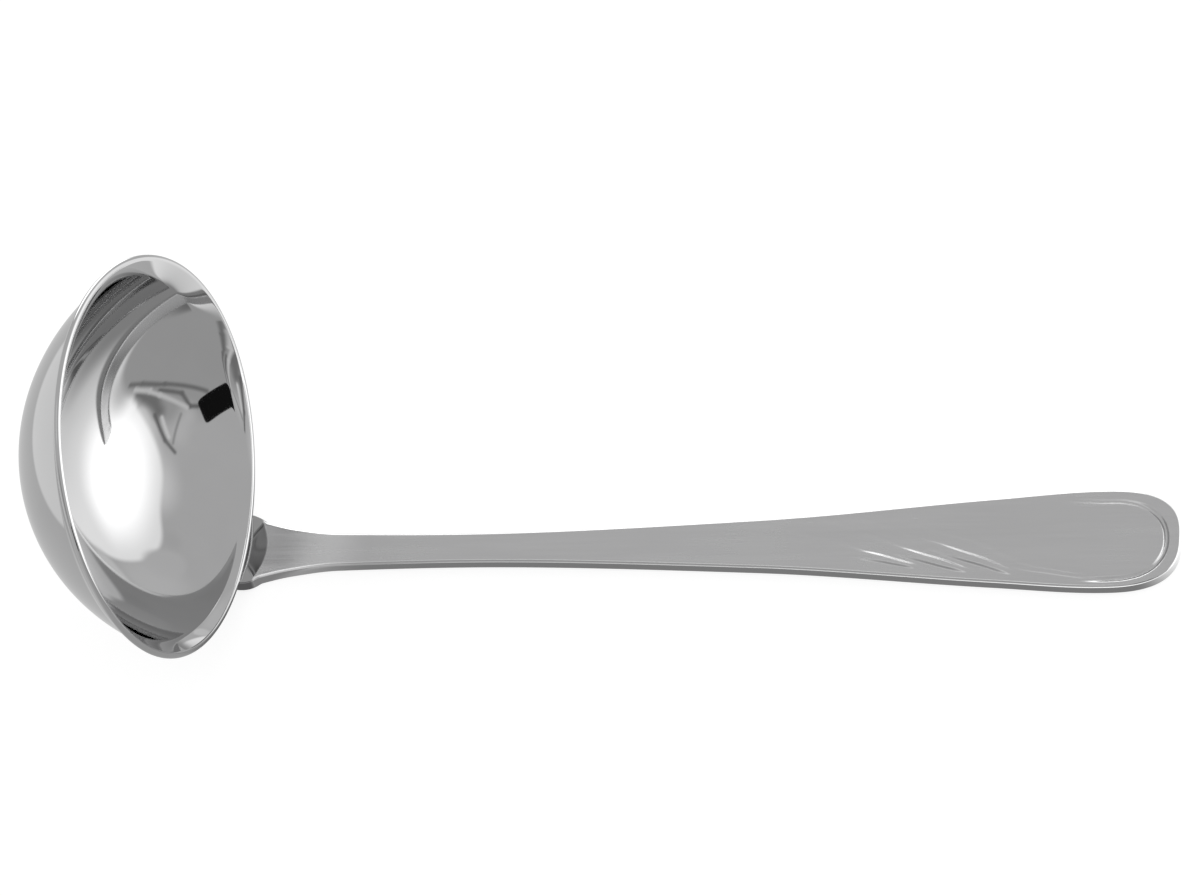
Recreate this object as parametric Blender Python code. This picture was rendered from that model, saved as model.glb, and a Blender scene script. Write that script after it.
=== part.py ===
"""Sauce ladle in polished stainless steel.

The ladle is three pieces of metal. The bowl is one deep-drawn sheet with a pouring lip on each side.
The handle is one flat stamped bar, narrow at its neck and wide at its end. Its foot is forged to the
curve of the bowl's back, laps over it and is held by a weld bead that runs round the foot's free edge.

The ladle lies on the flat back of its handle, which is the plane Z = 0. The handle runs along +X to
its end, and the bowl stands at the other end with its opening towards the handle's end. Lengths are in
millimetres until the meshes are written, which turns them into metres.
"""

import math

import bmesh
import bpy
import numpy as np

MM = 0.001

# Bowl, measured to the middle of the sheet. The wall stands steeper by the handle and its rim is flared
# everywhere but there, so that the foot has a plain and even wall to lie on.
OPENING_LENGTH = 60.0
OPENING_WIDTH = 65.0
BOWL_DEPTH = 20.25
BOWL_SHEET = 1.1
WALL_START_ANGLE = 28.0
HANDLE_WALL_START_ANGLE = 12.0
STEEP_WALL_NARROWNESS = 4.5
LIP_REACH = 0.3
LIP_RISE = 1.3
FRONT_FLARE = 1.4
HANDLE_FLARE = 0.15
SMALL_FLARE_NARROWNESS = 10
FLARE_DEPTH = 1.2
FLARE_SHARPNESS = 1.8

# Angle by which the opening's axis rises from the handle's own direction.
BOWL_TILT = 10.0

# Handle, with its stations counted along the handle from the bowl's rim.
HANDLE_THICKNESS = 2.4
HANDLE_REACH = 154.9
END_WIDTH = 17.6
END_ROUNDING_LENGTH = 12.5
END_SQUARENESS = 2.7
WIDE_STATION = 125.4
WIDE_WIDTH = 15.3
MIDDLE_STATION = 87.0
MIDDLE_WIDTH = 8.9
NECK_STATION = 37.0
NECK_WIDTH = 5.45
THROAT_STATION = 16.0
THROAT_WIDTH = 6.1
FLARE_STATION = 8.0
FLARE_WIDTH = 8.1
RIM_CROSSING_WIDTH = 12.2
EDGE_ROUNDING = 0.45

# Foot of the handle, which lies on the bowl's back.
FOOT_LENGTH = 14.0
FOOT_WIDEST = 4.0
FOOT_WIDTH = 14.0
FOOT_END_THICKNESS = 1.1
FOOT_TIP_SHARE = 0.965
BEND_LENGTH = 2.8

# Weld bead round the foot.
BEAD_WIDTH = 1.1
BEAD_HEIGHT = 0.75
BEAD_START = 1.2

# Clearance between pieces that lie on each other, and the rim's extra height over the handle's face.
SEAT_GAP = 0.3
RIM_LIFT = 0.1

# Fineness of the meshes, as numbers of faces along each stretch.
BOWL_SIDES = 72
BOWL_STEPS = 18
BOWL_CLOSENESS = 1.9
RIM_STEPS = 4
FOOT_COLUMNS = 4
FOOT_ROWS = 11
FOOT_ROOT_ROWS = 4
BEND_ROWS = 6
THROAT_ROWS = 12
SHANK_ROWS = 21
END_ROWS = 14
EDGE_STEPS = 3
BEAD_STEPS = 4
BEAD_TIP_ROWS = 13
BEAD_SIDE_ROWS = 3
MERIDIAN_SAMPLES = 200

# Small steps that slopes are measured over: a share of the bowl's parameters, and a length.
SLOPE_SHARE = 1e-4
SLOPE_LENGTH = 0.05

# Faces that meet at more than this angle keep a sharp edge between them.
SHARP_ANGLE = 35.0

# An edge of the flat handle is an outer edge where its two faces' upward parts differ by this much.
OUTER_EDGE_TURN = 0.5

HALF_SHEET = BOWL_SHEET / 2
RIM_HEIGHT = HANDLE_THICKNESS + SEAT_GAP + HALF_SHEET + RIM_LIFT


def clear_scene():
    """Removes every object that the scene holds."""
    for item in list(bpy.data.objects):
        bpy.data.objects.remove(item, do_unlink=True)


def steel(name, grey, roughness):
    """Returns a bare stainless steel material."""
    material = bpy.data.materials.new(name)
    material.use_nodes = True
    shader = material.node_tree.nodes["Principled BSDF"]
    shader.inputs["Base Color"].default_value = (grey, grey, grey, 1.0)
    shader.inputs["Metallic"].default_value = 1.0
    shader.inputs["Roughness"].default_value = roughness
    return material


def finish_object(name, bm, material, parent):
    """Turns a bmesh in millimetres into a named object in metres with smooth shading."""
    bmesh.ops.scale(bm, vec=(MM, MM, MM), verts=bm.verts)
    bmesh.ops.recalc_face_normals(bm, faces=bm.faces)
    mesh = bpy.data.meshes.new(name)
    bm.to_mesh(mesh)
    bm.free()
    mesh.materials.append(material)
    mesh.shade_smooth()
    mesh.set_sharp_from_angle(angle=math.radians(SHARP_ANGLE))
    piece = bpy.data.objects.new(name, mesh)
    bpy.context.scene.collection.objects.link(piece)
    piece.parent = parent
    return piece


def add_loft(bm, rings):
    """Joins rings of equal length, given as an array (ring, point, xyz), and returns their vertices."""
    rows = [[bm.verts.new(point) for point in ring] for ring in rings]
    for low, high in zip(rows, rows[1:]):
        for i in range(len(low)):
            j = (i + 1) % len(low)
            bm.faces.new((low[i], low[j], high[j], high[i]))
    return rows


def add_pole(bm, ring, point):
    """Closes a ring with a fan of triangles to one point."""
    pole = bm.verts.new(point)
    for i, vert in enumerate(ring):
        bm.faces.new((vert, ring[(i + 1) % len(ring)], pole))


# Bowl: its middle surface is given in its own axes, with the origin at the opening's centre, +X to the
# handle, +Y to one lip and +Z out of the opening. Turn is the angle round the opening from +X, and
# fall runs from 0 at the rim to 1 at the bottom.

def bowl_middle(turn, fall):
    """Returns points on the middle of the sheet."""
    turn, fall = np.broadcast_arrays(np.asarray(turn, float), np.asarray(fall, float))
    near_handle = (1 + np.cos(turn)) / 2
    steeper = (WALL_START_ANGLE - HANDLE_WALL_START_ANGLE) * near_handle ** STEEP_WALL_NARROWNESS
    start = np.radians(WALL_START_ANGLE - steeper)
    angle = start + fall * (math.pi / 2 - start)
    share = np.cos(angle) / np.cos(start)
    down = BOWL_DEPTH * (np.sin(angle) - np.sin(start)) / (1 - np.sin(start))
    side = np.sin(turn) ** 2
    near_rim = np.clip(1 - down / FLARE_DEPTH, 0, 1) ** FLARE_SHARPNESS
    flare = FRONT_FLARE + (HANDLE_FLARE - FRONT_FLARE) * near_handle ** SMALL_FLARE_NARROWNESS
    along = (OPENING_LENGTH / 2 - flare) * share + flare * near_rim
    across = (OPENING_WIDTH / 2 - flare) * share + (flare + LIP_REACH * side) * near_rim
    height = LIP_RISE * side * near_rim - down
    return np.stack([along * np.cos(turn), across * np.sin(turn), height], axis=-1)


def unit(vectors):
    """Scales vectors to length one."""
    return vectors / np.linalg.norm(vectors, axis=-1, keepdims=True)


def bowl_directions(turn, fall):
    """Returns the directions out of the bowl's back and up the wall towards the rim."""
    turn, fall = np.asarray(turn), np.asarray(fall)
    up_wall = bowl_middle(turn, fall - SLOPE_SHARE) - bowl_middle(turn, fall + SLOPE_SHARE)
    round_wall = bowl_middle(turn + SLOPE_SHARE, fall) - bowl_middle(turn - SLOPE_SHARE, fall)
    return unit(np.cross(round_wall, up_wall)), unit(up_wall)


def bowl_skin(turn, fall, distance):
    """Returns points at a distance from the sheet's middle, positive towards the bowl's back."""
    back, _ = bowl_directions(turn, fall)
    return bowl_middle(turn, fall) + back * np.asarray(distance)[..., None]


def in_ladle_axes(points):
    """Takes points from the bowl's own axes to the ladle's axes."""
    lean = math.radians(90 - BOWL_TILT)
    cos, sin = math.cos(lean), math.sin(lean)
    turned = np.stack([points[..., 0] * cos + points[..., 2] * sin, points[..., 1],
                       points[..., 2] * cos - points[..., 0] * sin], axis=-1)
    return turned + opening_centre()


def opening_centre():
    """Returns the opening's centre in the ladle's axes, set by the rim's lowest point."""
    lean = math.radians(90 - BOWL_TILT)
    reach = OPENING_LENGTH / 2
    return np.array([-reach * math.cos(lean), 0.0, RIM_HEIGHT + reach * math.sin(lean)])


def make_bowl(parent, material):
    """Makes the bowl: the outer skin from the bottom up, the round rim and the inner skin down.

    The rings lie closer together near the rim, where the flare needs them.
    """
    turns = np.linspace(0, 2 * math.pi, BOWL_SIDES, endpoint=False)
    falls = np.linspace(0, 1, BOWL_STEPS + 1)[:-1] ** BOWL_CLOSENESS
    outer = [bowl_skin(turns, fall, HALF_SHEET) for fall in falls[::-1]]
    inner = [bowl_skin(turns, fall, -HALF_SHEET) for fall in falls]
    middle = bowl_middle(turns, 0.0)
    back, up_wall = bowl_directions(turns, 0.0)
    rim = []
    for angle in np.linspace(0, math.pi, RIM_STEPS + 1)[1:-1]:
        rim.append(middle + HALF_SHEET * (back * math.cos(angle) + up_wall * math.sin(angle)))
    bm = bmesh.new()
    rows = add_loft(bm, outer + rim + inner)
    add_pole(bm, rows[0], (0, 0, -BOWL_DEPTH - HALF_SHEET))
    add_pole(bm, rows[-1], (0, 0, -BOWL_DEPTH + HALF_SHEET))
    bowl = finish_object("bowl", bm, material, parent)
    bowl.location = opening_centre() * MM
    bowl.rotation_euler = (0, math.radians(90 - BOWL_TILT), 0)
    return bowl


# Handle: it is laid out flat first. Station is the distance along it from the rim, negative on the
# foot, and side is the distance from its middle line. The foot is then wrapped on the bowl's back.

def smooth_through(stations, values, wanted):
    """Returns a smooth curve through the points given, with no overshoot between them."""
    x = np.asarray(stations, float)
    y = np.asarray(values, float)
    slope = np.diff(y) / np.diff(x)
    same_way = slope[:-1] * slope[1:] > 0
    safe = np.where(same_way, slope[:-1] + slope[1:], 1.0)
    inner = np.where(same_way, 2 * slope[:-1] * slope[1:] / safe, 0.0)
    tangent = np.concatenate([[0.0], inner, [0.0]])
    i = np.clip(np.searchsorted(x, wanted) - 1, 0, len(x) - 2)
    step = x[i + 1] - x[i]
    u = (np.asarray(wanted, float) - x[i]) / step
    return (y[i] * (1 + 2 * u) * (1 - u) ** 2 + step * tangent[i] * u * (1 - u) ** 2
            + y[i + 1] * u ** 2 * (3 - 2 * u) - step * tangent[i + 1] * u ** 2 * (1 - u))


def half_width(station):
    """Returns half the handle's width between the foot's widest place and the end's rounding."""
    stations = (-FOOT_WIDEST, 0.0, FLARE_STATION, THROAT_STATION, NECK_STATION, MIDDLE_STATION,
                WIDE_STATION, HANDLE_REACH - END_ROUNDING_LENGTH)
    widths = (FOOT_WIDTH, RIM_CROSSING_WIDTH, FLARE_WIDTH, THROAT_WIDTH, NECK_WIDTH, MIDDLE_WIDTH,
              WIDE_WIDTH, END_WIDTH)
    return smooth_through(stations, widths, station) / 2


def foot_outline():
    """Returns the stations from the foot's tip to the end of the bend, and half the width at each."""
    round_length = FOOT_LENGTH - FOOT_WIDEST
    share = np.linspace(FOOT_TIP_SHARE, 0, FOOT_ROWS)
    widening = np.concatenate([np.linspace(-FOOT_WIDEST, 0, FOOT_ROOT_ROWS + 1)[1:],
                               np.linspace(0, BEND_LENGTH, BEND_ROWS + 1)[1:]])
    stations = np.concatenate([-FOOT_WIDEST - round_length * share, widening])
    halves = np.concatenate([FOOT_WIDTH / 2 * np.sqrt(1 - share ** 2), half_width(widening)])
    return stations, halves


def shank_outline():
    """Returns the same from the end of the bend to the last place before the handle's very end."""
    shoulder = HANDLE_REACH - END_ROUNDING_LENGTH
    shank = np.concatenate([np.linspace(BEND_LENGTH, NECK_STATION, THROAT_ROWS + 1)[1:],
                            np.linspace(NECK_STATION, shoulder, SHANK_ROWS + 1)[1:]])
    angles = np.linspace(0, math.pi / 2, END_ROWS + 1)[1:-1]
    power = 2 / END_SQUARENESS
    stations = np.concatenate([shank, shoulder + END_ROUNDING_LENGTH * np.sin(angles) ** power])
    halves = np.concatenate([half_width(shank), END_WIDTH / 2 * np.cos(angles) ** power])
    return stations, halves


def on_bowl_back(depth, side, distance):
    """Returns places at a distance off the bowl's back, by depth down from the rim and side."""
    falls = np.linspace(0, 1, MERIDIAN_SAMPLES + 1)[:-1]
    meridian = bowl_skin(0.0, falls, HALF_SHEET)
    lengths = np.concatenate([[0], np.cumsum(np.linalg.norm(np.diff(meridian, axis=0), axis=1))])
    fall = np.interp(depth, lengths, falls)
    radius = np.interp(depth, lengths, meridian[:, 0])
    return in_ladle_axes(bowl_skin(side / radius, fall, HALF_SHEET + distance))


def foot_thickness(depth):
    """Returns the foot's thickness, which falls from the handle's to the thin free edge."""
    return np.interp(depth, (0, FOOT_LENGTH), (HANDLE_THICKNESS, FOOT_END_THICKNESS))


def bent_handle(points):
    """Wraps points of the flat handle: the foot on the bowl's back, with a smooth bend next to it."""
    station, side, height = points.T
    under_face = 1 - height / HANDLE_THICKNESS

    def foot_place(depth):
        return on_bowl_back(depth, side, SEAT_GAP + under_face * foot_thickness(depth))

    foot = foot_place(np.maximum(-station, 0))
    leaving = unit(foot_place(np.zeros_like(side)) - foot_place(np.full_like(side, SLOPE_LENGTH)))
    drop = np.clip((height - foot[:, 2]) / leaving[:, 2], 0, BEND_LENGTH)
    corner = foot + leaving * drop[:, None]
    bend_end = np.stack([np.full_like(side, BEND_LENGTH), side, height], axis=-1)
    u = np.clip(station / BEND_LENGTH, 0, 1)[:, None]
    bend = foot * (1 - u) ** 2 + corner * 2 * u * (1 - u) + bend_end * u ** 2
    straight = station[:, None] > BEND_LENGTH
    on_foot = station[:, None] < 0
    return np.where(straight, points, np.where(on_foot, foot, bend))


def make_handle(parent, material):
    """Makes the handle: its flat outline, extruded, rounded along both edges and bent at the foot."""
    bm = bmesh.new()
    columns = np.linspace(-1, 1, FOOT_COLUMNS + 1)
    grid = [[bm.verts.new((x, half * c, 0)) for c in columns] for x, half in zip(*foot_outline())]
    for low, high in zip(grid, grid[1:]):
        for i in range(FOOT_COLUMNS):
            bm.faces.new((low[i], high[i], high[i + 1], low[i + 1]))
    right = [bm.verts.new((x, -half, 0)) for x, half in zip(*shank_outline())]
    left = [bm.verts.new((x, half, 0)) for x, half in zip(*shank_outline())]
    end = bm.verts.new((HANDLE_REACH, 0, 0))
    bm.faces.new(grid[-1][::-1] + right + [end] + left[::-1])
    raised = bmesh.ops.extrude_face_region(bm, geom=list(bm.faces))
    top = [item for item in raised["geom"] if isinstance(item, bmesh.types.BMVert)]
    bmesh.ops.translate(bm, vec=(0, 0, HANDLE_THICKNESS), verts=top)
    bmesh.ops.recalc_face_normals(bm, faces=bm.faces)
    rim_edges = [edge for edge in bm.edges
                 if abs(edge.link_faces[0].normal.z - edge.link_faces[1].normal.z) > OUTER_EDGE_TURN]
    bmesh.ops.bevel(bm, geom=rim_edges, offset=EDGE_ROUNDING, offset_type="OFFSET",
                    segments=EDGE_STEPS, profile=0.5, affect="EDGES")
    flat = np.array([vert.co[:] for vert in bm.verts])
    for vert, place in zip(bm.verts, bent_handle(flat)):
        vert.co = place
    return finish_object("handle", bm, material, parent)


def bead_path():
    """Returns the foot's free edge from one side of the rim round the foot's tip to the other."""
    end_angles = np.radians(np.linspace(0, 90, BEAD_TIP_ROWS + 1))
    tip = -FOOT_WIDEST - (FOOT_LENGTH - FOOT_WIDEST) * np.sin(end_angles)
    side_of_tip = FOOT_WIDTH / 2 * np.cos(end_angles)
    beside = np.linspace(-BEAD_START, -FOOT_WIDEST, BEAD_SIDE_ROWS + 1)[:-1]
    half = np.concatenate([half_width(beside), side_of_tip])
    station = np.concatenate([beside, tip])
    return np.concatenate([np.stack([station, half], -1), np.stack([station, -half], -1)[-2::-1]])


def make_weld_bead(parent, material):
    """Makes the bead: a hollow-faced fillet in the corner between the bowl's back and the foot's edge."""
    path = bead_path()
    run = unit(np.gradient(path, axis=0))
    away = np.stack([run[:, 1], -run[:, 0]], -1)
    if np.sum(away[0] * (0.0, 1.0)) < 0:
        away = -away
    arc = np.radians(np.linspace(0, 90, BEAD_STEPS + 1))
    outward = np.concatenate([[0.0], BEAD_WIDTH * (1 - np.sin(arc))])
    upward = np.concatenate([[0.0], BEAD_HEIGHT * (1 - np.cos(arc))])
    rings = []
    for out, up in zip(outward, upward):
        place = path + away * (SEAT_GAP + out)
        rings.append(on_bowl_back(-place[:, 0], place[:, 1], SEAT_GAP + up))
    rings = np.swapaxes(np.array(rings), 0, 1)
    bm = bmesh.new()
    rows = add_loft(bm, rings)
    bm.faces.new(rows[0])
    bm.faces.new(rows[-1])
    return finish_object("weld_bead", bm, material, parent)


def centre_over_origin(parent, pieces):
    """Moves the ladle so that the middle of its length lies over the origin."""
    bpy.context.view_layer.update()
    ends = []
    for piece in pieces:
        ends.extend((piece.matrix_world @ vert.co).x for vert in piece.data.vertices)
    parent.location.x = -(min(ends) + max(ends)) / 2


def main():
    """Builds the ladle."""
    clear_scene()
    ladle = bpy.data.objects.new("ladle", None)
    bpy.context.scene.collection.objects.link(ladle)
    pieces = [
        make_bowl(ladle, steel("mirror_steel", 0.72, 0.08)),
        make_handle(ladle, steel("satin_steel", 0.66, 0.28)),
        make_weld_bead(ladle, steel("weld_steel", 0.6, 0.35)),
    ]
    centre_over_origin(ladle, pieces)
    bpy.context.view_layer.update()


main()
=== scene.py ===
"""Sauce ladle in stainless steel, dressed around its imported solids.

The bowl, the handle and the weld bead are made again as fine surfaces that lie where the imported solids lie.
Each is worked out with numpy as a function of two parameters. The bowl gets its mirror polish, the handle its
satin polish and its stamped relief of waves and a border line, and the weld bead its dressed finish.

Lengths are in millimetres in the ladle's own axes until a mesh is written: X runs along the handle from the
rim's lowest point, and Z is zero on the handle's flat back.
"""

from __future__ import annotations

import logging
import math
from dataclasses import dataclass
from enum import Enum

import bpy
import numpy as np
from mathutils import Matrix, Vector

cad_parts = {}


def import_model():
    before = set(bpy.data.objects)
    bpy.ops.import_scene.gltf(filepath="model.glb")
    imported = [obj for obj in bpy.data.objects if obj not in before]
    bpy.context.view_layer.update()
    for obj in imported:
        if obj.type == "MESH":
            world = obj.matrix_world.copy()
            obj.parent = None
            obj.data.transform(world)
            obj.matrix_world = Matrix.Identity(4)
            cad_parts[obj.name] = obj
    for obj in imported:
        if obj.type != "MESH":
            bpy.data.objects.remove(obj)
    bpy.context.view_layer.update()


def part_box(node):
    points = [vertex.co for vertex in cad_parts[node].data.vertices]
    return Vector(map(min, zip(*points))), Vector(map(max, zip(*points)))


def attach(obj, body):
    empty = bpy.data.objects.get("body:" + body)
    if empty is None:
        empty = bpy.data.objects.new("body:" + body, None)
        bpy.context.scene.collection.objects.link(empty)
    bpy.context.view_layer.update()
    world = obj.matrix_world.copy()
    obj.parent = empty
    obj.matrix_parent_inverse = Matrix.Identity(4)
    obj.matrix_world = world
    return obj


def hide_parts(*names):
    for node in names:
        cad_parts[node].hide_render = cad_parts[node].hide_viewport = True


LOG = logging.getLogger("ladle")

MM = 0.001
BODY = "root"

# Width in pixels of the photograph that the camera repeats, and the camera's sensor.
PHOTO_WIDTH = 1200
SENSOR_MM = 36.0

# The table lies this much lower than the handle's back, in metres, so that the two never coincide.
TABLE_DROP = 2.0e-5


# How much of the grey each colour channel has: cool steel, and weld metal that the heat warmed.
STEEL_TINT = (1.0, 1.0, 1.004)
WELD_TINT = (1.0, 0.99, 0.97)


class Slot(Enum):
    """Finishes that the record names."""

    MIRROR = "mirror_steel"
    SATIN = "satin_steel"
    WELD = "weld_steel"


def unit(vectors: np.ndarray) -> np.ndarray:
    """Scales vectors to length one."""
    return vectors / np.linalg.norm(vectors, axis=-1, keepdims=True)


def smooth_step(value: np.ndarray) -> np.ndarray:
    """Rises smoothly from 0 to 1 while the value goes from 0 to 1: 3v² - 2v³."""
    v = np.clip(value, 0.0, 1.0)
    return v * v * (3.0 - 2.0 * v)


def smooth_through(stations: np.ndarray, values: np.ndarray, wanted: np.ndarray) -> np.ndarray:
    """Returns a cubic curve through points, which doesn't overshoot between them.

    Each stretch is the cubic with the given end values and the end slopes 2ab / (a + b), where a and b are
    the slopes of the chords on the two sides, or zero where they differ in sign.

    Args:
        stations: Places of the points, rising.
        values: Values at these places.
        wanted: Places where the curve is wanted.

    Returns:
        The curve's values there.
    """
    x = np.asarray(stations, float)
    y = np.asarray(values, float)
    wanted = np.asarray(wanted, float)
    slope = np.diff(y) / np.diff(x)
    same_way = slope[:-1] * slope[1:] > 0
    safe = np.where(same_way, slope[:-1] + slope[1:], 1.0)
    inner = np.where(same_way, 2 * slope[:-1] * slope[1:] / safe, 0.0)
    tangent = np.concatenate([[0.0], inner, [0.0]])
    i = np.clip(np.searchsorted(x, wanted) - 1, 0, len(x) - 2)
    step = x[i + 1] - x[i]
    u = (wanted - x[i]) / step
    return (y[i] * (1 + 2 * u) * (1 - u) ** 2 + step * tangent[i] * u * (1 - u) ** 2
            + y[i + 1] * u ** 2 * (3 - 2 * u) - step * tangent[i + 1] * u ** 2 * (1 - u))


def grid_quads(rows: int, columns: int, round_columns: bool) -> np.ndarray:
    """Returns the corner numbers of the faces of a grid of points.

    Face (i, j) has the corners (i, j), (i, j+1), (i+1, j+1) and (i+1, j), and point (i, j) has the number
    i · columns + j.

    Args:
        rows: Number of rows.
        columns: Number of points in a row.
        round_columns: Whether the last point of a row joins the first.

    Returns:
        An array (face, 4).
    """
    i, j = np.meshgrid(np.arange(rows - 1), np.arange(columns if round_columns else columns - 1),
                       indexing="ij")
    k = (j + 1) % columns
    corners = [i * columns + j, i * columns + k, (i + 1) * columns + k, (i + 1) * columns + j]
    return np.stack(corners, axis=-1).reshape(-1, 4)


def fan(ring: np.ndarray, pole: int) -> np.ndarray:
    """Returns triangles (ring j, ring j+1, pole) that close a ring of point numbers."""
    return np.stack([ring, np.roll(ring, -1), np.full_like(ring, pole)], axis=-1)


def new_piece(name: str, points: np.ndarray, faces: list[np.ndarray]) -> bpy.types.Object:
    """Makes an object at the origin from points in metres and arrays of faces.

    Args:
        name: The piece's name.
        points: An array (point, xyz) in the frame's axes.
        faces: Arrays of corner numbers, each of one number of corners.

    Returns:
        The object, smooth, with its faces pointing outwards.
    """
    mesh = bpy.data.meshes.new(name)
    mesh.from_pydata(points.tolist(), [], [face for group in faces for face in group.tolist()])
    mesh.shade_smooth()
    mesh.update()
    piece = bpy.data.objects.new(name, mesh)
    bpy.context.scene.collection.objects.link(piece)
    return piece


def set_attribute(piece: bpy.types.Object, name: str, values: np.ndarray) -> None:
    """Writes one number for each point of a piece as a named attribute."""
    layer = piece.data.attributes.new(name, "FLOAT", "POINT")
    layer.data.foreach_set("value", values.astype(np.float32))


def set_uv(piece: bpy.types.Object, name: str, across: np.ndarray, along: np.ndarray) -> None:
    """Writes a UV map from two numbers for each corner of each face."""
    layer = piece.data.uv_layers.new(name=name)
    layer.uv.foreach_set("vector", np.stack([across, along], axis=-1).astype(np.float32).ravel())


class Graph:
    """Adds shader nodes to a tree and joins them."""

    def __init__(self, tree: bpy.types.NodeTree) -> None:
        """Keeps the tree that nodes are added to."""
        self.tree = tree

    def add(self, kind: str, links: dict | None = None, **settings: object) -> bpy.types.Node:
        """Adds a node.

        Args:
            kind: Blender's name of the node's type.
            links: Values or output sockets, by the name or number of the input that takes them.
            **settings: Properties of the node.

        Returns:
            The node.
        """
        node = self.tree.nodes.new(kind)
        for name, value in settings.items():
            setattr(node, name, value)
        for name, value in (links or {}).items():
            if isinstance(value, bpy.types.NodeSocket):
                self.tree.links.new(value, node.inputs[name])
            else:
                node.inputs[name].default_value = value
        return node

    def math(self, operation: str, *values: object, clamp: bool = False) -> bpy.types.NodeSocket:
        """Adds a Math node on numbers or sockets and returns its output."""
        node = self.add("ShaderNodeMath", dict(enumerate(values)), operation=operation, use_clamp=clamp)
        return node.outputs[0]

    def vector_math(self, operation: str, links: dict) -> bpy.types.bpy_prop_collection:
        """Adds a Vector Math node on vectors or sockets and returns its outputs."""
        return self.add("ShaderNodeVectorMath", links, operation=operation).outputs

    def ease(self, value: object, start: float, end: float, low: float = 0.0,
             high: float = 1.0) -> bpy.types.NodeSocket:
        """Adds a smooth step from low to high while the value goes from start to end."""
        node = self.add("ShaderNodeMapRange", {"Value": value, "From Min": start, "From Max": end,
                                               "To Min": low, "To Max": high},
                        interpolation_type="SMOOTHSTEP")
        return node.outputs["Result"]

    def noise(self, vector: object, scale: float, detail: float = 2.0,
              roughness: float = 0.5) -> bpy.types.NodeSocket:
        """Adds a noise texture and returns its value, between 0 and 1."""
        node = self.add("ShaderNodeTexNoise", {"Vector": vector, "Scale": scale, "Detail": detail,
                                               "Roughness": roughness})
        return node.outputs["Fac"]

    def stretch(self, vector: object, scale: tuple[float, float, float]) -> bpy.types.NodeSocket:
        """Adds a Mapping node that scales a pattern."""
        return self.add("ShaderNodeMapping", {"Vector": vector, "Scale": scale}).outputs["Vector"]

    def bump(self, height: object, depth: float, under: object = None) -> bpy.types.NodeSocket:
        """Adds a Bump node whose height, from 0 to 1, stands for a depth in metres."""
        links = {"Height": height, "Distance": depth, "Strength": 1.0}
        if under is not None:
            links["Normal"] = under
        return self.add("ShaderNodeBump", links).outputs["Normal"]


def new_material(name: str) -> tuple[bpy.types.Material, Graph, bpy.types.Node]:
    """Makes a material and returns it with its graph and its Principled shader."""
    material = bpy.data.materials.new(name)
    material.use_nodes = True
    return material, Graph(material.node_tree), material.node_tree.nodes["Principled BSDF"]


def dress_as_metal(graph: Graph, shader: bpy.types.Node, grey: bpy.types.NodeSocket,
                   tint: tuple[float, float, float], rough: bpy.types.NodeSocket,
                   normal: bpy.types.NodeSocket) -> None:
    """Joins a metal's colour, roughness and normal to its shader.

    Args:
        graph: The material's graph.
        shader: Its Principled shader.
        grey: The metal's grey.
        tint: What the grey is multiplied by for red, green and blue.
        rough: The roughness.
        normal: The normal with its bumps.
    """
    red, green, blue = (graph.math("MULTIPLY", grey, share) for share in tint)
    colour = graph.add("ShaderNodeCombineColor", {"Red": red, "Green": green, "Blue": blue}).outputs["Color"]
    for name, socket in (("Base Color", colour), ("Roughness", rough), ("Normal", normal)):
        graph.tree.links.new(socket, shader.inputs[name])
    shader.inputs["Metallic"].default_value = 1.0


@dataclass(frozen=True)
class MirrorPolish:
    """Mirror polish with faint lines from the polishing wheel, which ran round the bowl."""

    name: str
    grey: float = 0.50
    roughness: float = 0.03
    roughness_change: float = 0.03
    line_depth: float = 1.2e-7
    wave_depth: float = 2.0e-6
    line_scale: tuple[float, float, float] = (9.0, 90.0, 1.0)
    broad_scale: tuple[float, float, float] = (5.0, 11.0, 1.0)
    wave_scale: float = 95.0
    wear_scale: float = 60.0
    wear: tuple[float, float] = (0.97, 1.02)

    def material(self) -> bpy.types.Material:
        """Makes the material.

        The UV map gives turns round the bowl and the distance down its wall in centimetres. Lines are noise
        that is stretched round the bowl. Soft waves and the wear, which changes the grey by a few hundredths,
        are noise in the ladle's own axes.
        """
        material, graph, shader = new_material(self.name)
        uv = graph.add("ShaderNodeUVMap", uv_map="polish").outputs["UV"]
        place = graph.add("ShaderNodeTexCoord").outputs["Object"]
        lines = graph.noise(graph.stretch(uv, self.line_scale), 1.0, 3.0, 0.6)
        broad = graph.noise(graph.stretch(uv, self.broad_scale), 1.0, 2.0)
        waves = graph.noise(place, self.wave_scale, 1.0)
        wear = graph.noise(place, self.wear_scale, 3.0)
        grey = graph.ease(wear, 0.3, 0.7, self.grey * self.wear[0], self.grey * self.wear[1])
        mixed = graph.math("MULTIPLY", graph.math("ADD", lines, broad), 0.5)
        rough = graph.ease(mixed, 0.35, 0.7, self.roughness, self.roughness + self.roughness_change)
        fine = graph.bump(mixed, self.line_depth, under=graph.bump(waves, self.wave_depth))
        dress_as_metal(graph, shader, grey, STEEL_TINT, rough, fine)
        return material


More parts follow.
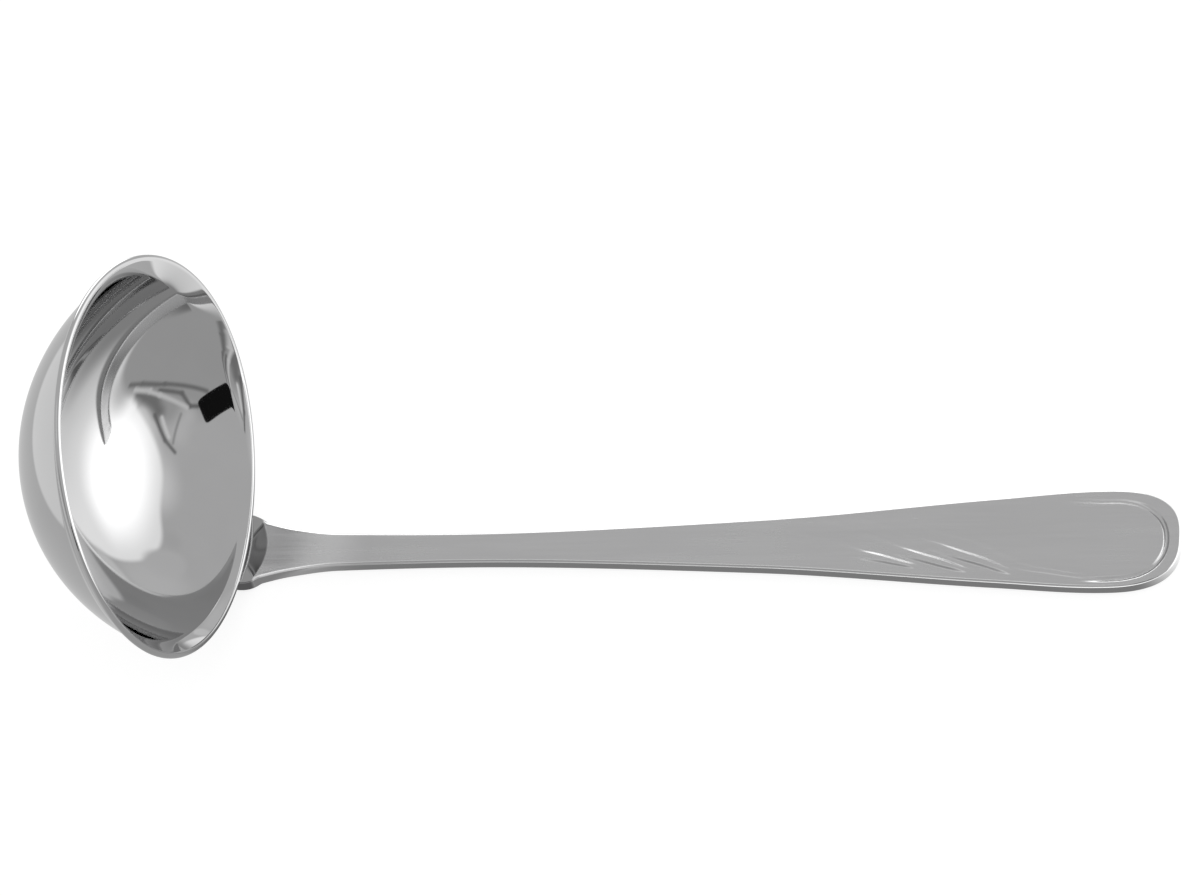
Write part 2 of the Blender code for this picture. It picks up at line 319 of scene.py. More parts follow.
@dataclass(frozen=True)
class SatinPolish:
    """Satin polish whose fine grain runs along the handle, with worn edges and a buffed patch at the rim.

    Three attributes of the piece place it, all in millimetres: "inset" is the distance from the outline,
    "station" the distance along the handle from the rim, and "buffed" the same along lines bowed to the
    buffed patch. The patch is buffed smooth up to the buffed reach, and its darker grey there is a painted
    dark reflection. A thin painted highlight along the seam ends it. From the foot to the painted light
    reach the grey is lighter: painted light for the brighter reflection that the face shows near the bowl.
    """

    name: str
    grey: float = 0.53
    # Lighter grey near the bowl: painted light for the face's brighter reflection there.
    foot_painted_light_grey: float = 0.85
    painted_light_reach: tuple[float, float] = (9.0, 22.0)
    # Darker grey on the buffed patch: a painted dark reflection over its real buffed polish.
    buffed_painted_reflection_grey: float = 0.36
    buffed_reach: tuple[float, float] = (3.3, 3.7)
    # Bright grey along the seam: a painted highlight.
    seam_painted_highlight_grey: float = 0.95
    seam_station: float = 3.68
    seam_highlight_width: float = 0.2
    roughness: float = 0.25
    edge_roughness: float = 0.16
    edge_width: float = 0.9
    foot_roughness: float = 0.05
    roughness_spread: float = 0.04
    grain_depth: float = 4.0e-7
    grain_scale: tuple[float, float, float] = (90.0, 2600.0, 2600.0)
    brushed_scale: tuple[float, float, float] = (22.0, 420.0, 420.0)
    cloud_scale: float = 70.0
    grain_tone: tuple[float, float] = (0.97, 1.03)

    def tone(self, graph: Graph, satin: bpy.types.NodeSocket,
             buffed: bpy.types.NodeSocket) -> bpy.types.NodeSocket:
        """Adds the grey before its grain: the foot's painted light, the buffed patch's painted dark
        reflection and the seam's painted highlight, over the satin's.

        Args:
            graph: The material's graph.
            satin: 0 on the buffed patch and 1 past it.
            buffed: The attribute "buffed".

        Returns:
            The grey.
        """
        station = graph.add("ShaderNodeAttribute", attribute_name="station").outputs["Fac"]
        # Lighter grey towards the foot: painted light for the face's brighter reflection near the bowl.
        plain = graph.ease(station, *self.painted_light_reach, self.foot_painted_light_grey, self.grey)
        over_buffed = graph.math("SUBTRACT", plain, self.buffed_painted_reflection_grey)
        # The buffed patch's darker grey is a painted dark reflection; its smoothness is real polish.
        tone = graph.math("MULTIPLY_ADD", satin, over_buffed, self.buffed_painted_reflection_grey)
        # The thin bright line along the seam is a painted highlight.
        off_seam = graph.math("ABSOLUTE", graph.math("SUBTRACT", buffed, self.seam_station))
        return graph.math("MAXIMUM", tone, graph.ease(off_seam, 0.0, self.seam_highlight_width, self.seam_painted_highlight_grey, 0.0))

    def material(self) -> bpy.types.Material:
        """Makes the material.

        Grain is noise stretched along the handle. It changes the grey a little, makes the bumps and, with
        soft clouds, spreads the roughness, which falls towards the outline and on the buffed patch.
        """
        material, graph, shader = new_material(self.name)
        place = graph.add("ShaderNodeTexCoord").outputs["Object"]
        inset = graph.add("ShaderNodeAttribute", attribute_name="inset").outputs["Fac"]
        buffed = graph.add("ShaderNodeAttribute", attribute_name="buffed").outputs["Fac"]
        grain = graph.noise(graph.stretch(place, self.grain_scale), 1.0, 4.0, 0.65)
        brushed = graph.noise(graph.stretch(place, self.brushed_scale), 1.0, 2.0)
        clouds = graph.noise(place, self.cloud_scale, 2.0)
        mixed = graph.math("MULTIPLY", graph.math("ADD", grain, brushed), 0.5)
        satin = graph.ease(buffed, *self.buffed_reach)
        grained = graph.ease(mixed, 0.25, 0.75, *self.grain_tone)
        grey = graph.math("MULTIPLY", grained, self.tone(graph, satin, buffed))
        edge = graph.ease(inset, 0.0, self.edge_width, self.edge_roughness, self.roughness)
        spread = graph.ease(graph.math("ADD", mixed, clouds), 0.7, 1.3, -self.roughness_spread,
                            self.roughness_spread)
        over_foot = graph.math("SUBTRACT", graph.math("ADD", edge, spread), self.foot_roughness)
        rough = graph.math("MULTIPLY_ADD", satin, over_foot, self.foot_roughness)
        dress_as_metal(graph, shader, grey, STEEL_TINT, rough, graph.bump(mixed, self.grain_depth))
        return material


@dataclass(frozen=True)
class DressedWeld:
    """Weld metal that was wire brushed: greyer than the sheet, uneven, with a fine pitted grain."""

    name: str
    grey: float = 0.44
    grey_change: tuple[float, float] = (0.86, 1.08)
    roughness: tuple[float, float] = (0.28, 0.44)
    pit_depth: float = 4.0e-6
    pit_scale: float = 2600.0
    cloud_scale: float = 420.0

    def material(self) -> bpy.types.Material:
        """Makes the material: uneven roughness and pits from two scales of noise."""
        material, graph, shader = new_material(self.name)
        place = graph.add("ShaderNodeTexCoord").outputs["Object"]
        clouds = graph.noise(place, self.cloud_scale, 3.0)
        pits = graph.noise(place, self.pit_scale, 3.0, 0.6)
        grey = graph.ease(clouds, 0.3, 0.7, *(self.grey * share for share in self.grey_change))
        rough = graph.ease(pits, 0.3, 0.7, *self.roughness)
        dress_as_metal(graph, shader, grey, WELD_TINT, rough, graph.bump(pits, self.pit_depth))
        return material


@dataclass(frozen=True)
class BowlForm:
    """Shape of the bowl, measured to the middle of its sheet, in millimetres.

    In the bowl's own axes +X points to the handle, +Y to one lip and +Z out of the opening. Turn is the
    angle round the opening from +X, and fall runs from 0 at the rim to 1 at the bottom.
    """

    opening_length: float = 60.0
    opening_width: float = 65.0
    depth: float = 20.25
    sheet: float = 1.1
    wall_start: float = 28.0
    handle_wall_start: float = 12.0
    steep_wall_narrowness: float = 4.5
    lip_reach: float = 0.3
    lip_rise: float = 1.3
    front_flare: float = 1.4
    handle_flare: float = 0.15
    small_flare_narrowness: float = 10.0
    flare_depth: float = 1.2
    flare_sharpness: float = 1.8
    tilt: float = math.radians(10.0)
    rim_height: float = 3.35
    slope_share: float = 1e-4

    def middle(self, turn: np.ndarray, fall: np.ndarray) -> np.ndarray:
        """Returns points on the middle of the sheet, in the bowl's own axes.

        The profile is a part of a circle stretched to the bowl's depth. With a from the wall's start angle
        to 90 degrees, the radius is the opening's times cos a / cos start, and the depth is the bowl's times
        (sin a - sin start) / (1 - sin start). Near the rim a flare and the two lips are added, times
        (1 - depth / flare depth) to the power of the sharpness. The lips go with sin² turn. By the handle
        the wall starts steeper and the flare is small, both with a power of (1 + cos turn) / 2.
        """
        turn, fall = np.broadcast_arrays(np.asarray(turn, float), np.asarray(fall, float))
        near_handle = (1 + np.cos(turn)) / 2
        steeper = (self.wall_start - self.handle_wall_start) * near_handle ** self.steep_wall_narrowness
        start = np.radians(self.wall_start - steeper)
        angle = start + fall * (math.pi / 2 - start)
        share = np.cos(angle) / np.cos(start)
        down = self.depth * (np.sin(angle) - np.sin(start)) / (1 - np.sin(start))
        side = np.sin(turn) ** 2
        near_rim = np.clip(1 - down / self.flare_depth, 0, 1) ** self.flare_sharpness
        flare_change = (self.handle_flare - self.front_flare) * near_handle ** self.small_flare_narrowness
        flare = self.front_flare + flare_change
        along = (self.opening_length / 2 - flare) * share + flare * near_rim
        across = (self.opening_width / 2 - flare) * share + (flare + self.lip_reach * side) * near_rim
        height = self.lip_rise * side * near_rim - down
        return np.stack([along * np.cos(turn), across * np.sin(turn), height], axis=-1)

    def directions(self, turn: np.ndarray, fall: np.ndarray) -> tuple[np.ndarray, np.ndarray]:
        """Returns unit directions out of the bowl's back and up its wall, from small differences."""
        turn, fall = np.asarray(turn, float), np.asarray(fall, float)
        step = self.slope_share
        up_wall = self.middle(turn, fall - step) - self.middle(turn, fall + step)
        round_wall = self.middle(turn + step, fall) - self.middle(turn - step, fall)
        return unit(np.cross(round_wall, up_wall)), unit(up_wall)

    def skin(self, turn: np.ndarray, fall: np.ndarray, distance: np.ndarray) -> np.ndarray:
        """Returns points at a distance from the sheet's middle, positive towards the bowl's back."""
        back, _ = self.directions(turn, fall)
        return self.middle(turn, fall) + back * np.asarray(distance, float)[..., None]

    def opening_centre(self) -> np.ndarray:
        """Returns the opening's centre in the ladle's axes, set by the rim's lowest point."""
        lean = math.pi / 2 - self.tilt
        reach = self.opening_length / 2
        return np.array([-reach * math.cos(lean), 0.0, self.rim_height + reach * math.sin(lean)])

    def in_ladle(self, points: np.ndarray) -> np.ndarray:
        """Takes points from the bowl's own axes to the ladle's: a turn about Y, then a shift."""
        lean = math.pi / 2 - self.tilt
        cos, sin = math.cos(lean), math.sin(lean)
        turned = np.stack([points[..., 0] * cos + points[..., 2] * sin, points[..., 1],
                           points[..., 2] * cos - points[..., 0] * sin], axis=-1)
        return turned + self.opening_centre()

    def on_back(self, depth: np.ndarray, side: np.ndarray, distance: np.ndarray,
                samples: int = 400) -> np.ndarray:
        """Returns places at a distance off the bowl's back, in the ladle's axes.

        Args:
            depth: Distance down the back from the rim, along the wall behind the handle.
            side: Distance sideways, measured round the bowl.
            distance: Distance off the back.
            samples: Number of points that the wall's length is measured with.

        Returns:
            The places.
        """
        falls = np.linspace(0, 1, samples + 1)[:-1]
        half = np.full(samples, self.sheet / 2)
        wall = self.skin(np.zeros(samples), falls, half)
        lengths = np.concatenate([[0], np.cumsum(np.linalg.norm(np.diff(wall, axis=0), axis=1))])
        fall = np.interp(depth, lengths, falls)
        radius = np.interp(depth, lengths, wall[:, 0])
        return self.in_ladle(self.skin(side / radius, fall, self.sheet / 2 + distance))


@dataclass
class Bowl:
    """The deep-drawn bowl, as one closed skin: its back, its rounded rim and its inside."""

    form: BowlForm
    finish: MirrorPolish
    sides: int = 320
    steps: int = 110
    rim_steps: int = 12
    rim_closeness: float = 1.6

    def rings(self) -> tuple[np.ndarray, np.ndarray]:
        """Works out the rings of points and the distance down the wall of each ring, in millimetres.

        Falls are s to the power of rim_closeness, with s even from 0 to 1, so that rings lie closer at the
        rim. The rim is the half circle middle + half sheet · (back cos a + up sin a), with a from 0 to 180
        degrees.
        """
        turns = np.linspace(0, 2 * math.pi, self.sides, endpoint=False)
        falls = np.linspace(0, 1, self.steps + 1)[:-1] ** self.rim_closeness
        half = self.form.sheet / 2
        turn, fall = np.meshgrid(turns, falls)
        outer = self.form.skin(turn, fall, np.full_like(turn, half))[::-1]
        inner = self.form.skin(turn, fall, np.full_like(turn, -half))
        edge = self.form.middle(turns, np.zeros_like(turns))
        back, up_wall = self.form.directions(turns, np.zeros_like(turns))
        angles = np.linspace(0, math.pi, self.rim_steps + 1)[1:-1, None, None]
        rim = edge + half * (back * np.cos(angles) + up_wall * np.sin(angles))
        down = fall[:, 0] * self.form.depth
        heights = np.concatenate([-down[::-1], np.zeros(self.rim_steps - 1), down])
        return np.concatenate([outer, rim, inner]), heights

    def build(self, shift: float) -> bpy.types.Object:
        """Makes the bowl's mesh with its polish map, moved along X by a shift in millimetres."""
        rings, heights = self.rings()
        count, sides, _ = rings.shape
        half = self.form.sheet / 2
        poles = np.array([[0, 0, -self.form.depth - half], [0, 0, -self.form.depth + half]])
        points = self.form.in_ladle(np.concatenate([rings.reshape(-1, 3), poles]))
        quads = grid_quads(count, sides, True)
        first = np.arange(sides)
        last = first + (count - 1) * sides
        bottom = fan(first[::-1], count * sides)
        inside = fan(last, count * sides + 1)
        piece = new_piece("bowl_skin", (points + (shift, 0, 0)) * MM, [quads, bottom, inside])
        column = np.arange(sides) / sides
        start = np.tile(column, count - 1)
        end = start + 1 / sides
        low = np.repeat(heights[:-1], sides) / 10
        high = np.repeat(heights[1:], sides) / 10
        around = [np.stack([start, end, end, start], -1).ravel()]
        along = [np.stack([low, low, high, high], -1).ravel()]
        for turn, height in ((column[::-1], heights[0]), (column, heights[-1])):
            around.append(np.stack([turn, turn, turn], -1).ravel())
            along.append(np.full(3 * sides, height / 10))
        set_uv(piece, "polish", np.concatenate(around), np.concatenate(along))
        return piece

    def make(self, shift: float) -> bpy.types.Object:
        """Builds the bowl, dresses it and gives it its place in the frame."""
        piece = self.build(shift)
        piece.data.materials.append(self.finish.material())
        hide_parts("bowl")
        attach(piece, BODY)
        return piece


@dataclass(frozen=True)
class ReliefLine:
    """A stamped line on the handle's face: a ridge where its height is positive, a groove where negative.

    Points are (along the handle, across it, half the flat width, height), in millimetres. The line is the
    smooth curve through them, and its section is flat over the flat width and then falls over the wall's
    width as a smooth step.
    """

    points: tuple[tuple[float, float, float, float], ...]
    wall: float
    samples: int = 240

    def curve(self) -> np.ndarray:
        """Returns the line's samples, by a curve through the points on their chord length."""
        table = np.array(self.points)
        chord = np.concatenate([[0], np.cumsum(np.hypot(*np.diff(table[:, :2], axis=0).T))])
        wanted = np.linspace(0, chord[-1], self.samples)
        return self.through(chord, table, wanted)

    @staticmethod
    def through(chord: np.ndarray, table: np.ndarray, wanted: np.ndarray) -> np.ndarray:
        """Returns the cubic curve whose slope at each point is the mean chord slope round it."""
        slope = np.gradient(table, chord, axis=0)
        i = np.clip(np.searchsorted(chord, wanted, side="right") - 1, 0, len(chord) - 2)
        step = (chord[i + 1] - chord[i])[:, None]
        u = (wanted[:, None] - chord[i][:, None]) / step
        return (table[i] * (1 + 2 * u) * (1 - u) ** 2 + step * slope[i] * u * (1 - u) ** 2
                + table[i + 1] * u ** 2 * (3 - 2 * u) - step * slope[i + 1] * u ** 2 * (1 - u))

    def height(self, x: np.ndarray, y: np.ndarray) -> np.ndarray:
        """Returns the height that the line adds at each place of the face."""
        line = self.curve()
        reach = line[:, 2].max() + self.wall
        near = ((x > line[:, 0].min() - reach) & (x < line[:, 0].max() + reach)
                & (y > line[:, 1].min() - reach) & (y < line[:, 1].max() + reach))
        added = np.zeros_like(x)
        where = np.flatnonzero(near)
        if not len(where):
            return added
        gap = np.hypot(x[where, None] - line[None, :, 0], y[where, None] - line[None, :, 1])
        best = np.argmin(gap, axis=1)
        away = gap[np.arange(len(where)), best] - line[best, 2]
        added[where] = line[best, 3] * (1 - smooth_step(away / self.wall))
        return added


@dataclass
class Handle:
    """The stamped handle with its relief and the foot that laps over the bowl's back, in millimetres.

    It is laid out flat first: station is the distance along it from the rim, negative on the foot.
    """

    form: BowlForm
    finish: SatinPolish
    relief: tuple[ReliefLine, ...]
    thickness: float = 2.4
    reach: float = 154.9
    end_width: float = 17.6
    end_rounding: float = 12.5
    end_squareness: float = 2.7
    foot_length: float = 14.0
    foot_widest: float = 4.0
    foot_width: float = 14.0
    foot_end_thickness: float = 1.1
    bend_length: float = 2.8
    edge_rounding: float = 0.45
    seat_gap: float = 0.3
    waist: tuple[tuple[float, float], ...] = ((-4.0, 14.0), (0.0, 12.2), (8.0, 8.1), (16.0, 6.1),
                                              (37.0, 5.45), (87.0, 8.9), (125.4, 15.3), (142.4, 17.6))
    pitch: tuple[tuple[float, float], ...] = ((-14.0, 0.45), (3.0, 0.35), (8.0, 0.9), (60.0, 0.9),
                                              (72.0, 0.34), (140.0, 0.34), (146.0, 0.16), (155.0, 0.14))
    border_zone: float = 2.6
    widest_zone: float = 0.55
    spine_end: float = 14.0
    spine_end_room: float = 7.0
    spine_foot_room: float = 5.0
    arc_steps: int = 6
    back_steps: int = 6
    side_steps: int = 3
    zone_steps: int = 19
    face_steps: int = 46
    slope_step: float = 0.05
    buffed_bow: float = 0.055

    def half_width(self, station: np.ndarray) -> np.ndarray:
        """Returns half the width between the foot's widest place and the end's rounding."""
        places, widths = np.array(self.waist).T
        return smooth_through(places, widths, station) / 2

    def outline(self) -> np.ndarray:
        """Returns the upper half of the outline, from the foot's tip to the handle's end.

        The foot is a half ellipse, the shank follows its widths, and the end is the curve
        (x/a)^n + (y/b)^n = 1 with n the squareness. The whole is sampled again at the wanted pitch.
        """
        angle = np.linspace(0, math.pi / 2, 600)
        round_length = self.foot_length - self.foot_widest
        foot = np.stack([-self.foot_widest - round_length * np.cos(angle),
                         self.foot_width / 2 * np.sin(angle)], -1)
        shoulder = self.reach - self.end_rounding
        shank = np.linspace(-self.foot_widest, shoulder, 6000)[1:]
        middle = np.stack([shank, self.half_width(shank)], -1)
        power = 2 / self.end_squareness
        end = np.stack([shoulder + self.end_rounding * np.sin(angle[1:]) ** power,
                        self.end_width / 2 * np.abs(np.cos(angle[1:])) ** power], -1)
        end[-1] = (self.reach, 0.0)
        dense = np.concatenate([foot, middle, end])
        length = np.concatenate([[0], np.cumsum(np.hypot(*np.diff(dense, axis=0).T))])
        places, pitches = np.array(self.pitch).T
        density = 1 / np.interp(dense[:, 0], places, pitches)
        count = np.concatenate([[0], np.cumsum(np.diff(length) * (density[1:] + density[:-1]) / 2)])
        wanted = np.interp(np.linspace(0, count[-1], int(round(count[-1])) + 1), count, length)
        return np.stack([np.interp(wanted, length, dense[:, 0]), np.interp(wanted, length, dense[:, 1])], -1)

    def spine(self, station: np.ndarray) -> np.ndarray:
        """Returns the place on the middle line that each place of the outline is joined to.

        It is the same station along the shank, and it stops short of both ends, so that the faces fan out.
        """
        end_start, end_room = self.reach - self.spine_end, self.spine_end_room
        foot_start, foot_room = -self.foot_widest, self.spine_foot_room
        past_end = np.maximum(station - end_start, 0)
        past_foot = np.maximum(foot_start - station, 0)
        near_end = end_start + end_room * (1 - np.exp(-past_end / end_room))
        near_foot = foot_start - foot_room * (1 - np.exp(-past_foot / foot_room))
        middle = np.where(station < foot_start, near_foot, station)
        return np.where(station > end_start, near_end, middle)

    def flat_grid(self) -> tuple[np.ndarray, np.ndarray]:
        """Lays the handle out flat.

        Each place of the closed outline gives one column: from the middle line of the back out to the edge,
        up round it and in over the face to the middle line. Near the edge a point is outline + inward
        normal · inset, and past the border zone it runs straight to the middle line. A row is named by the
        kind of its inset (a share of the way to the spine or over the zone, or millimetres at the edge), its
        amount and its height.

        Returns:
            The points (row, column, xyz) and the inset of each point from the outline.
        """
        half = self.outline()
        loop = np.concatenate([half, (half * (1, -1))[-2:0:-1]])
        run = unit(np.roll(loop, -1, axis=0) - np.roll(loop, 1, axis=0))
        inward = np.stack([run[:, 1], -run[:, 0]], -1)
        spine = np.stack([self.spine(loop[:, 0]), np.zeros(len(loop))], -1)
        room = np.linalg.norm(spine - loop, axis=1)
        zone = np.minimum(self.border_zone, self.widest_zone * room)
        radius, top = self.edge_rounding, self.thickness
        arc = np.linspace(0, math.pi / 2, self.arc_steps + 1)
        rows: list[tuple[str, float, float]] = []
        rows += [("spine", share, 0.0) for share in np.linspace(1, 0, self.back_steps + 1)[:-1]]
        rows += [("zone", share, 0.0) for share in (1.0, 0.6, 0.3)]
        rows += [("edge", radius * (1 - math.cos(a)), radius * (1 - math.sin(a))) for a in math.pi / 2 - arc]
        side = np.linspace(radius, top - radius, self.side_steps + 1)[1:-1]
        rows += [("edge", 0.0, height) for height in side]
        rows += [("edge", radius * (1 - math.cos(a)), top - radius * (1 - math.sin(a))) for a in arc]
        rows += [("zone", share, top) for share in np.linspace(0, 1, self.zone_steps + 1)[1:]]
        rows += [("spine", share, top) for share in np.linspace(0, 1, self.face_steps + 1)[1:]]
        points = np.empty((len(rows), len(loop), 3))
        insets = np.empty((len(rows), len(loop)))
        at_zone = loop + inward * zone[:, None]
        for i, (kind, amount, height) in enumerate(rows):
            if kind == "spine":
                flat = at_zone + (spine - at_zone) * amount
                insets[i] = zone + amount * (room - zone)
            else:
                inset = amount if kind == "edge" else radius + amount * (zone - radius)
                flat = loop + inward * np.broadcast_to(inset, len(loop))[:, None]
                insets[i] = inset
            points[i, :, :2] = flat
            points[i, :, 2] = height
        return points, insets

    def foot_thickness(self, depth: np.ndarray) -> np.ndarray:
        """Returns the foot's thickness, which falls evenly towards its free edge."""
        return np.interp(depth, (0, self.foot_length), (self.thickness, self.foot_end_thickness))

    def bent(self, points: np.ndarray) -> np.ndarray:
        """Wraps points of the flat handle: the foot on the bowl's back, with a smooth bend next to it.

        The bend is the curve foot (1-u)² + corner 2u(1-u) + bar u², where the corner is the place at which
        the foot's own direction meets the height of the bar's plane.
        """
        station, side, height = points.T
        near = station < self.bend_length
        station, side, height = station[near], side[near], height[near]
        under_face = 1 - height / self.thickness

        def foot_place(depth: np.ndarray) -> np.ndarray:
            """Returns places on the foot at a depth down from the rim."""
            return self.form.on_back(depth, side, self.seat_gap + under_face * self.foot_thickness(depth))

        foot = foot_place(np.maximum(-station, 0))
        leaving = unit(foot_place(np.zeros_like(side)) - foot_place(np.full_like(side, self.slope_step)))
        drop = np.clip((height - foot[:, 2]) / leaving[:, 2], 0, self.bend_length)
        corner = foot + leaving * drop[:, None]
        bend_end = np.stack([np.full_like(side, self.bend_length), side, height], axis=-1)
        u = np.clip(station / self.bend_length, 0, 1)[:, None]
        bend = foot * (1 - u) ** 2 + corner * 2 * u * (1 - u) + bend_end * u ** 2
        placed = points.copy()
        placed[near] = np.where(station[:, None] < 0, foot, bend)
        return placed

    def build(self, shift: float) -> bpy.types.Object:
        """Makes the handle's mesh, moved along X by a shift in millimetres."""
        grid, insets = self.flat_grid()
        rows, columns, _ = grid.shape
        x, y = grid[..., 0].ravel(), grid[..., 1].ravel()
        face = grid[..., 2].ravel() >= self.thickness - self.edge_rounding
        height = grid[..., 2].ravel().copy()
        rise = sum(line.height(x, y) for line in self.relief)
        height[face] += rise[face]
        flat = np.stack([x, y, height], -1)
        numbers = np.arange(rows * columns).reshape(rows, columns)
        mirror = (-np.arange(columns)) % columns
        for row in (0, rows - 1):
            numbers[row] = np.minimum(numbers[row], numbers[row][mirror])
        quads = numbers.ravel()[grid_quads(rows, columns, True)]
        used, faces = np.unique(quads, return_inverse=True)
        points = self.bent(flat[used])
        piece = new_piece("handle_bar", (points + (shift, 0, 0)) * MM, [faces.reshape(-1, 4)[:, ::-1]])
        set_attribute(piece, "inset", insets.ravel()[used])
        set_attribute(piece, "station", x[used])
        set_attribute(piece, "buffed", x[used] + self.buffed_bow * y[used] ** 2)
        return piece

    def make(self, shift: float) -> bpy.types.Object:
        """Builds the handle, dresses it and gives it its place in the frame."""
        piece = self.build(shift)
        piece.data.materials.append(self.finish.material())
        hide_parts("handle")
        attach(piece, BODY)
        return piece


@dataclass
class WeldBead:
    """The weld bead in the corner between the bowl's back and the foot's edge, in millimetres."""

    handle: Handle
    finish: DressedWeld
    width: float = 1.1
    height: float = 0.75
    start: float = 1.2
    steps: int = 12
    tip_steps: int = 150
    side_steps: int = 34
    ripple: float = 0.05
    ripple_pitch: float = 0.8

    def path(self) -> np.ndarray:
        """Returns the foot's free edge from one side of the rim round the tip to the other."""
        handle = self.handle
        angles = np.linspace(0, math.pi / 2, self.tip_steps)
        tip = -handle.foot_widest - (handle.foot_length - handle.foot_widest) * np.sin(angles)
        beside = np.linspace(-self.start, -handle.foot_widest, self.side_steps)[:-1]
        half = np.concatenate([handle.half_width(beside), handle.foot_width / 2 * np.cos(angles)])
        station = np.concatenate([beside, tip])
        one = np.stack([station, half], -1)
        return np.concatenate([one, (one * (1, -1))[-2::-1]])

    def build(self, shift: float) -> bpy.types.Object:
        """Makes the bead's mesh.

        The section is a hollow quarter circle: out = width (1 - sin a), up = height (1 - cos a). Ripples of
        the weld run across it: both are multiplied by 1 + ripple · (sin(2 pi s / pitch) - 1), with s along
        the edge.
        """
        path = self.path()
        run = unit(np.gradient(path, axis=0))
        away = np.stack([-run[:, 1], run[:, 0]], -1)
        if away[0, 1] < 0:
            away = -away
        length = np.concatenate([[0], np.cumsum(np.hypot(*np.diff(path, axis=0).T))])
        swell = 1 + self.ripple * (np.sin(2 * math.pi * length / self.ripple_pitch) - 1)
        arc = np.linspace(0, math.pi / 2, self.steps + 1)
        outward = np.concatenate([[0.0], self.width * (1 - np.sin(arc))])
        upward = np.concatenate([[0.0], self.height * (1 - np.cos(arc))])
        gap = self.handle.seat_gap
        place = path[:, None] + away[:, None] * (gap + outward[None, :, None] * swell[:, None, None])
        rise = gap + upward[None, :] * swell[:, None]
        form = self.handle.form
        points = form.on_back(-place[..., 0].ravel(), place[..., 1].ravel(), rise.ravel())
        count, ring = rise.shape
        quads = grid_quads(count, ring, True)
        ends = [np.arange(ring)[None, ::-1], np.arange(ring)[None] + (count - 1) * ring]
        piece = new_piece("weld_fillet", (points + (shift, 0, 0)) * MM, [quads, *ends])
        piece.data.set_sharp_from_angle(angle=math.radians(50))
        return piece

    def make(self, shift: float) -> bpy.types.Object:
        """Builds the bead, dresses it and gives it its place in the frame."""
        piece = self.build(shift)
        piece.data.materials.append(self.finish.material())
        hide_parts("weld_bead")
        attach(piece, BODY)
        return piece


@dataclass(frozen=True)
class Patch:
    """A soft patch of light or shade on the tent's walls or on the table.

    Its place is the azimuth in degrees from +X towards +Y, and the height over the horizon in degrees, both
    as the bowl's middle sees them. With the share q = (|a|^n + |h|^n)^(1/n) of its radii, and n the
    squareness, the patch is full up to the inner share and fades out at q = 1.
    """

    centre: tuple[float, float]
    radii: tuple[float, float]
    level: float
    inner: float = 0.5
    squareness: float = 2.0


@dataclass(frozen=True)
class Fold:
    """A crease in the tent's cloth: a soft streak between two places.

    The places are (azimuth, height) and the width is to each side of the line, all in degrees as the bowl's
    middle sees them.
    """

    start: tuple[float, float]
    end: tuple[float, float]
    width: float
    level: float


